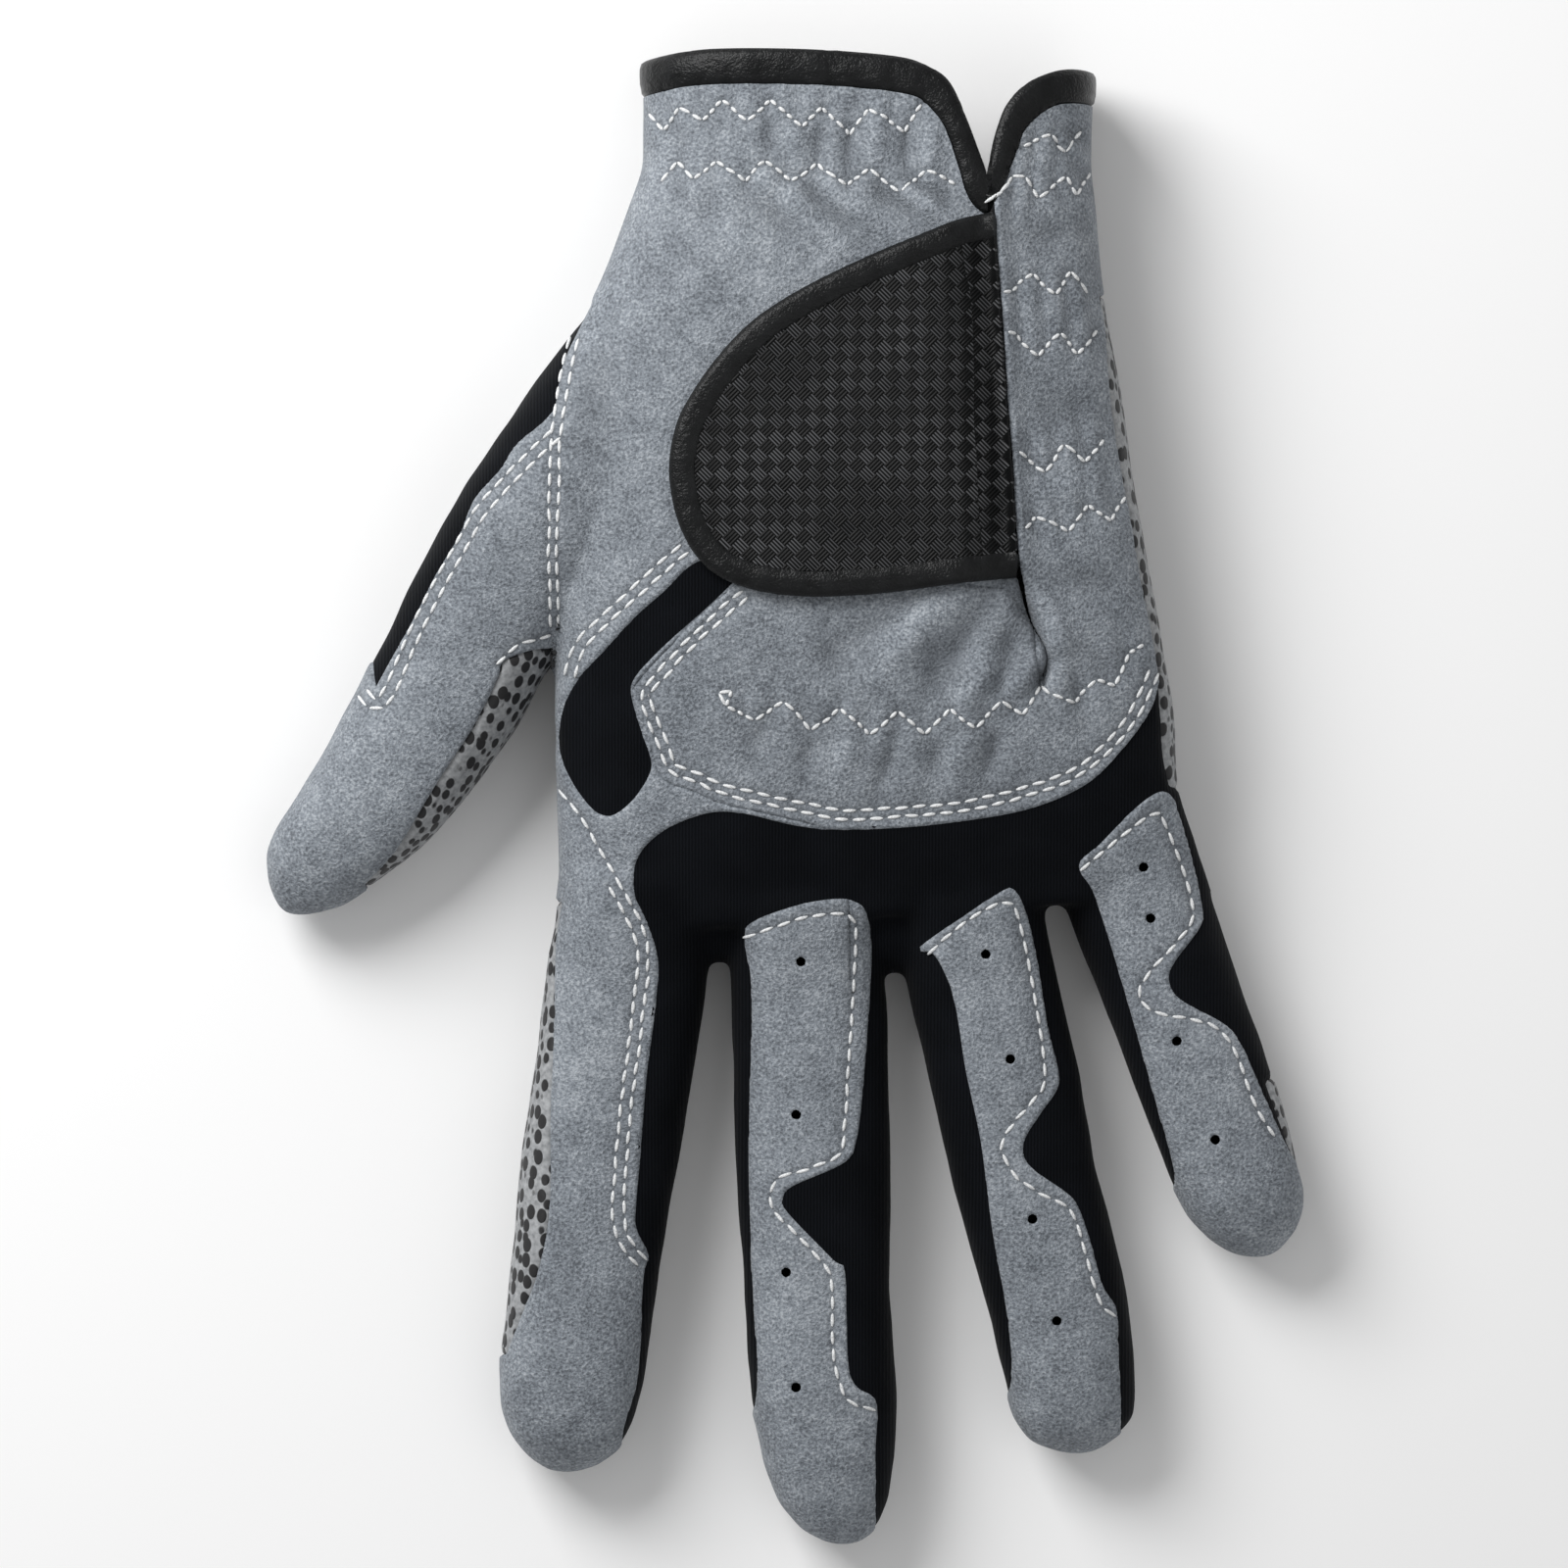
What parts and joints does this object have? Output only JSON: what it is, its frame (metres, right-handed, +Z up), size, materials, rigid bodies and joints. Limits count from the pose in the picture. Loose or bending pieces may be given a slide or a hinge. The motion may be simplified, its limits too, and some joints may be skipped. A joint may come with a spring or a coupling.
{
  "type": "golf glove",
  "caption": "Left-hand golf glove with grey suede back, black stretch insets, dotted grip palm, bound cuff with a slit, and a hinged hook-and-loop closure tab.",
  "frame": {"origin": "centre of the glove's box in plan, on the surface it lies on, palm down", "axes": "+X towards the little finger's side, +Y towards the cuff with the fingers pointing to -Y, +Z up through the back of the hand"},
  "size_m": [0.1477, 0.2127, 0.0333],
  "materials": {
    "suede": "napped synthetic suede",
    "grip_leather": "printed with raised black rubber dots",
    "stretch_fabric": "fine ribbed stretch knit",
    "binding_tape": "soft satin tape",
    "woven_face": "embossed basket weave, satin",
    "tab_backing": "brushed tricot",
    "hook_fabric": "moulded hooks",
    "loop_fabric": "looped pile",
    "elastic": "braided elastic"
  },
  "bodies": {
    "hand": {"palm_panel": "grip_leather", "back_panel": "suede", "knuckle_panel": "suede", "diagonal_stretch_inset": "stretch_fabric", "knuckle_stretch_band": "stretch_fabric", "thumb_root_panel": "suede", "thumb_root_stretch": "stretch_fabric", "cuff_binding": "binding_tape", "cuff_elastics": "elastic", "ulnar_elastics": "elastic", "knuckle_elastic": "elastic", "loop_pad": "loop_fabric"},
    "closure_tab": {"tab_binding": "binding_tape", "tab_woven_face": "woven_face", "tab_backing": "tab_backing", "tab_hook_pad": "hook_fabric"},
    "index_proximal": {"index_proximal_back": "suede", "index_proximal_front": "grip_leather", "index_proximal_gussets": "stretch_fabric"},
    "index_middle": {"index_middle_back": "suede", "index_middle_front": "grip_leather", "index_middle_gussets": "stretch_fabric"},
    "index_distal": {"index_distal_back": "suede", "index_distal_front": "grip_leather", "index_distal_gussets": "stretch_fabric"},
    "middle_proximal": {"middle_proximal_back": "suede", "middle_proximal_front": "grip_leather", "middle_proximal_gussets": "stretch_fabric"},
    "middle_middle": {"middle_middle_back": "suede", "middle_middle_front": "grip_leather", "middle_middle_gussets": "stretch_fabric"},
    "middle_distal": {"middle_distal_back": "suede", "middle_distal_front": "grip_leather", "middle_distal_gussets": "stretch_fabric"},
    "ring_proximal": {"ring_proximal_back": "suede", "ring_proximal_front": "grip_leather", "ring_proximal_gussets": "stretch_fabric"},
    "ring_middle": {"ring_middle_back": "suede", "ring_middle_front": "grip_leather", "ring_middle_gussets": "stretch_fabric"},
    "ring_distal": {"ring_distal_back": "suede", "ring_distal_front": "grip_leather", "ring_distal_gussets": "stretch_fabric"},
    "little_proximal": {"little_proximal_back": "suede", "little_proximal_front": "grip_leather", "little_proximal_gussets": "stretch_fabric"},
    "little_middle": {"little_middle_back": "suede", "little_middle_front": "grip_leather", "little_middle_gussets": "stretch_fabric"},
    "little_distal": {"little_distal_back": "suede", "little_distal_front": "grip_leather", "little_distal_gussets": "stretch_fabric"},
    "thumb_proximal": {"thumb_proximal_back": "suede", "thumb_proximal_front": "grip_leather", "thumb_proximal_gussets": "stretch_fabric"},
    "thumb_distal": {"thumb_distal_back": "suede", "thumb_distal_front": "grip_leather", "thumb_distal_gussets": "stretch_fabric"}
  },
  "joints": [
    {"name": "index_base_joint", "type": "hinge", "parent": "hand", "child": "index_proximal", "pos_m": [-0.0224, -0.0255, 0], "axis": [0.9919, -0.1271, 0], "range_deg": [0, 70]},
    {"name": "index_middle_joint", "type": "hinge", "parent": "index_proximal", "child": "index_middle", "pos_m": [-0.02634, -0.05625, 0], "axis": [0.9919, -0.1271, 0], "range_deg": [0, 75]},
    {"name": "index_tip_joint", "type": "hinge", "parent": "index_middle", "child": "index_distal", "pos_m": [-0.02939, -0.08005, 0], "axis": [0.9919, -0.1271, 0], "range_deg": [0, 45]},
    {"name": "middle_base_joint", "type": "hinge", "parent": "hand", "child": "middle_proximal", "pos_m": [0.003, -0.0285, 0], "axis": [0.999, 0.0454, 0], "range_deg": [0, 70]},
    {"name": "middle_middle_joint", "type": "hinge", "parent": "middle_proximal", "child": "middle_middle", "pos_m": [0.00434, -0.05797, 0], "axis": [0.999, 0.0454, 0], "range_deg": [0, 75]},
    {"name": "middle_tip_joint", "type": "hinge", "parent": "middle_middle", "child": "middle_distal", "pos_m": [0.00568, -0.08744, 0], "axis": [0.999, 0.0454, 0], "range_deg": [0, 45]},
    {"name": "ring_base_joint", "type": "hinge", "parent": "hand", "child": "ring_proximal", "pos_m": [0.0286, -0.0275, 0], "axis": [0.9767, 0.2147, 0], "range_deg": [0, 70]},
    {"name": "ring_middle_joint", "type": "hinge", "parent": "ring_proximal", "child": "ring_middle", "pos_m": [0.03337, -0.04918, 0], "axis": [0.9767, 0.2147, 0], "range_deg": [0, 75]},
    {"name": "ring_tip_joint", "type": "hinge", "parent": "ring_middle", "child": "ring_distal", "pos_m": [0.03884, -0.07409, 0], "axis": [0.9767, 0.2147, 0], "range_deg": [0, 45]},
    {"name": "little_base_joint", "type": "hinge", "parent": "hand", "child": "little_proximal", "pos_m": [0.0513, -0.0175, 0], "axis": [0.9426, 0.3338, 0], "range_deg": [0, 70]},
    {"name": "little_middle_joint", "type": "hinge", "parent": "little_proximal", "child": "little_middle", "pos_m": [0.05511, -0.02825, 0], "axis": [0.9426, 0.3338, 0], "range_deg": [0, 75]},
    {"name": "little_tip_joint", "type": "hinge", "parent": "little_middle", "child": "little_distal", "pos_m": [0.06232, -0.04861, 0], "axis": [0.9426, 0.3338, 0], "range_deg": [0, 45]},
    {"name": "thumb_base_joint", "type": "hinge", "parent": "hand", "child": "thumb_proximal", "pos_m": [-0.0432, 0.0235, 0], "axis": [0.8231, -0.5678, 0], "range_deg": [0, 45]},
    {"name": "thumb_tip_joint", "type": "hinge", "parent": "thumb_proximal", "child": "thumb_distal", "pos_m": [-0.05456, 0.00704, 0], "axis": [0.8231, -0.5678, 0], "range_deg": [0, 70]},
    {"name": "closure_tab_hinge", "type": "hinge", "parent": "hand", "child": "closure_tab", "pos_m": [0.0309, 0.0569, 0.032], "axis": [-0.0891, 0.996, 0], "range_deg": [0, 150]}
  ]
}
